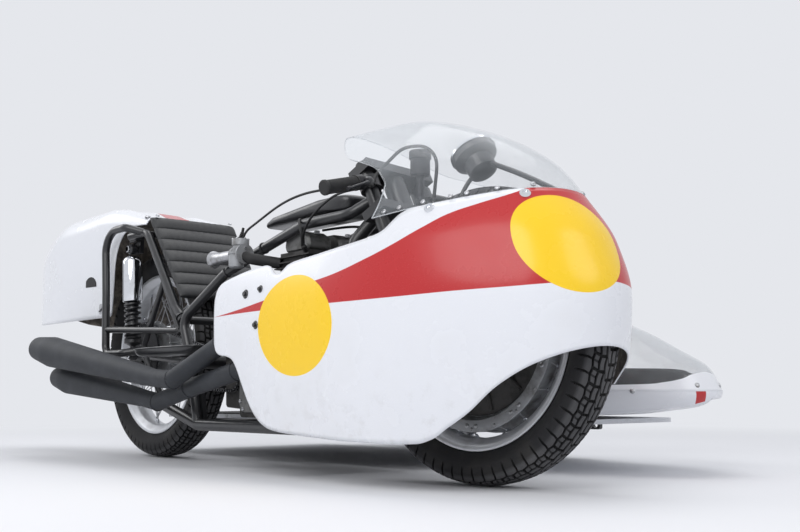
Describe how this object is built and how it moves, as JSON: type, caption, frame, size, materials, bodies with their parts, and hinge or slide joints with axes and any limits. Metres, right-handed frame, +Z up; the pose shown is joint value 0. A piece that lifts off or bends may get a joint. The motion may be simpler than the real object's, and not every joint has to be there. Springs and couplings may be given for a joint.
{
  "type": "racing sidecar motorcycle",
  "caption": "Faired racing motorcycle with a low open platform, a streamlined clear-topped nose and a third wheel on its left side.",
  "frame": {"origin": "on the ground under the middle of the outfit's bounding box", "axes": "+X forward, +Y to the left (sidecar side), +Z up"},
  "size_m": [2.6482, 1.4239, 0.846],
  "materials": {
    "tyre": "matt black rubber",
    "alloy": "polished",
    "cast_alloy": "as cast",
    "steel": "bright",
    "chrome": "polished",
    "frame_black": "semi-gloss",
    "panel_red": "gloss, red over white with yellow ovals",
    "panel_white": "gloss",
    "clear": "clear, lightly tinted",
    "exhaust_grey": "matt heat-proof",
    "pad_black": "ribbed",
    "rubber": "matt",
    "deck": "satin"
  },
  "bodies": {
    "chassis": {"main_frame": "frame_black", "right_frame": "frame_black", "left_frame": "frame_black", "control_cables": "rubber", "passenger_hoop": "frame_black", "swingarm": "frame_black", "rear_axle": "steel", "rear_shocks": "chrome", "engine_block": "cast_alloy", "cylinder_block": "cast_alloy", "gearbox": "cast_alloy", "drive_chain": "steel", "carburettors": "alloy", "exhaust_upper": "exhaust_grey", "exhaust_lower": "exhaust_grey", "fuel_tank": "panel_red", "back_pad": "pad_black", "knee_trays": "panel_white", "front_fairing": "panel_red", "windscreen": "clear", "fairing_stays": "frame_black", "rev_counter": "frame_black", "tail_fairing": "panel_white", "sidecar_frame": "frame_black", "sidecar_axle": "steel", "sidecar_floor": "deck", "sidecar_nose": "panel_white", "sidecar_screen": "clear", "sidecar_mudguard": "panel_white", "mudguard_stays": "frame_black", "grab_handles": "frame_black"},
    "steering": {"fork": "frame_black", "fork_links": "steel", "front_axle": "steel", "fork_dampers": "chrome", "handlebars": "frame_black", "grips": "rubber", "levers": "steel"},
    "front_wheel": {"front_tyre": "tyre", "front_rim": "alloy"},
    "rear_wheel": {"rear_tyre": "tyre", "rear_rim": "alloy", "rear_sprocket": "steel"},
    "sidecar_wheel": {"sidecar_tyre": "tyre", "sidecar_rim": "alloy"}
  },
  "joints": [
    {"name": "steering", "type": "hinge", "parent": "chassis", "child": "steering", "pos_m": [0.88767, -0.364, 0.28229], "axis": [-0.454, 0, 0.891], "range_deg": [-12.9, 3.1], "deforming": ["control_cables"]},
    {"name": "front_wheel_spin", "type": "hinge", "parent": "steering", "child": "front_wheel", "pos_m": [0.97119, -0.35596, 0.32484], "axis": [-0.0761, 0.9963, -0.0388], "continuous": true},
    {"name": "rear_wheel_spin", "type": "hinge", "parent": "chassis", "child": "rear_wheel", "pos_m": [-0.4635, -0.364, 0.325], "axis": [0, 1, 0], "continuous": true},
    {"name": "sidecar_wheel_spin", "type": "hinge", "parent": "chassis", "child": "sidecar_wheel", "pos_m": [-0.2635, 0.636, 0.29], "axis": [0, 1, 0], "continuous": true}
  ]
}
